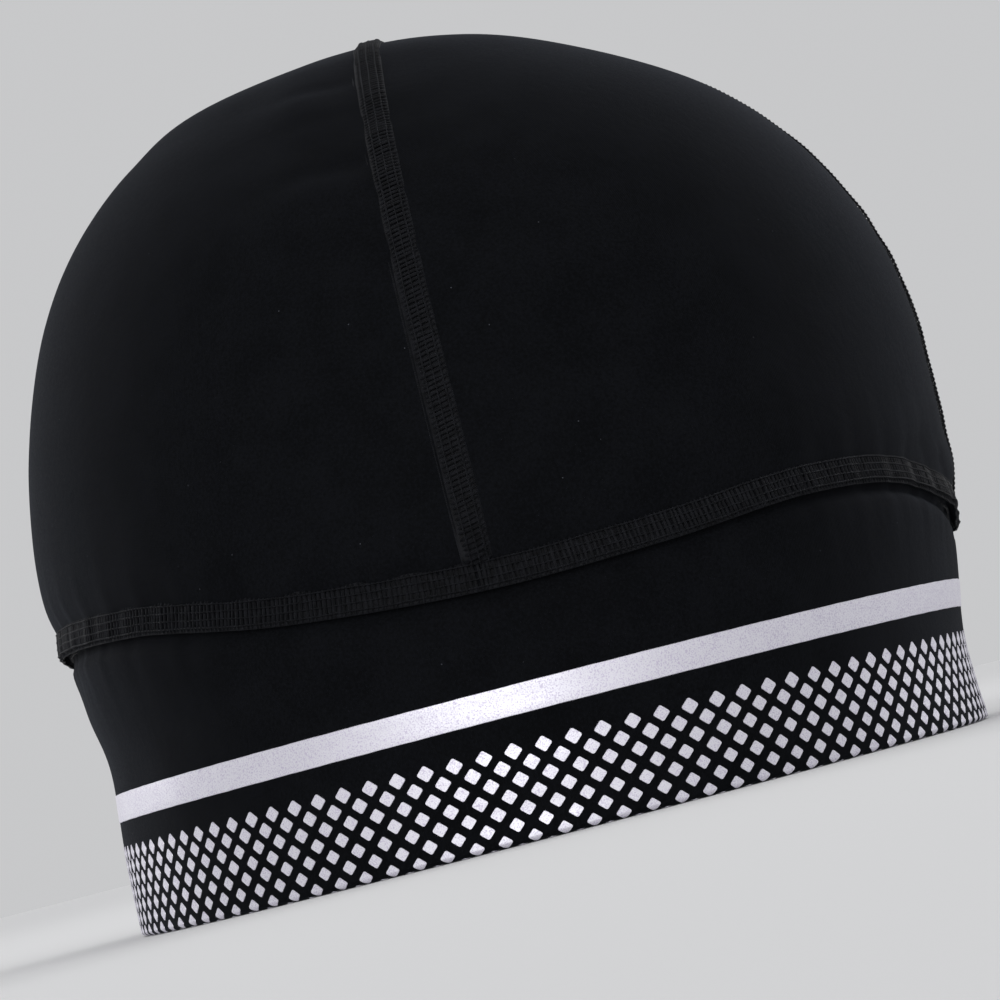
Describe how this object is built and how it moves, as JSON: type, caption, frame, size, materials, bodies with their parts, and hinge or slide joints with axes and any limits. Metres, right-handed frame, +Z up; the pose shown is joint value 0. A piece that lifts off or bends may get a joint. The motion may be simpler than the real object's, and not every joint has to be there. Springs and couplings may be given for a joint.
{
  "type": "running hat",
  "caption": "Close-fitting jersey beanie for running: domed crown sewn from panels with flatlock seams, a plain turned-up band, a reflective stripe and an open hollow for the head.",
  "frame": {"origin": "centre of the hat's box at the flattened hem, on the surface that the hat rests on", "axes": "+Z up through the crown, -Y to the front, +X to the right as seen from the front"},
  "size_m": [0.1647, 0.1944, 0.1448],
  "materials": {
    "jersey": "matte knit",
    "seam_thread": "satin thread",
    "reflective_print": "fine bead film"
  },
  "bodies": {
    "root": {"crown_front_left": "jersey", "crown_front_right": "jersey", "crown_back_left": "jersey", "crown_back_right": "jersey", "front_back_seam": "seam_thread", "left_seam": "seam_thread", "right_seam": "seam_thread", "band": "jersey", "band_seam": "seam_thread", "band_join_seam": "seam_thread", "reflective_stripe": "reflective_print"}
  },
  "joints": []
}
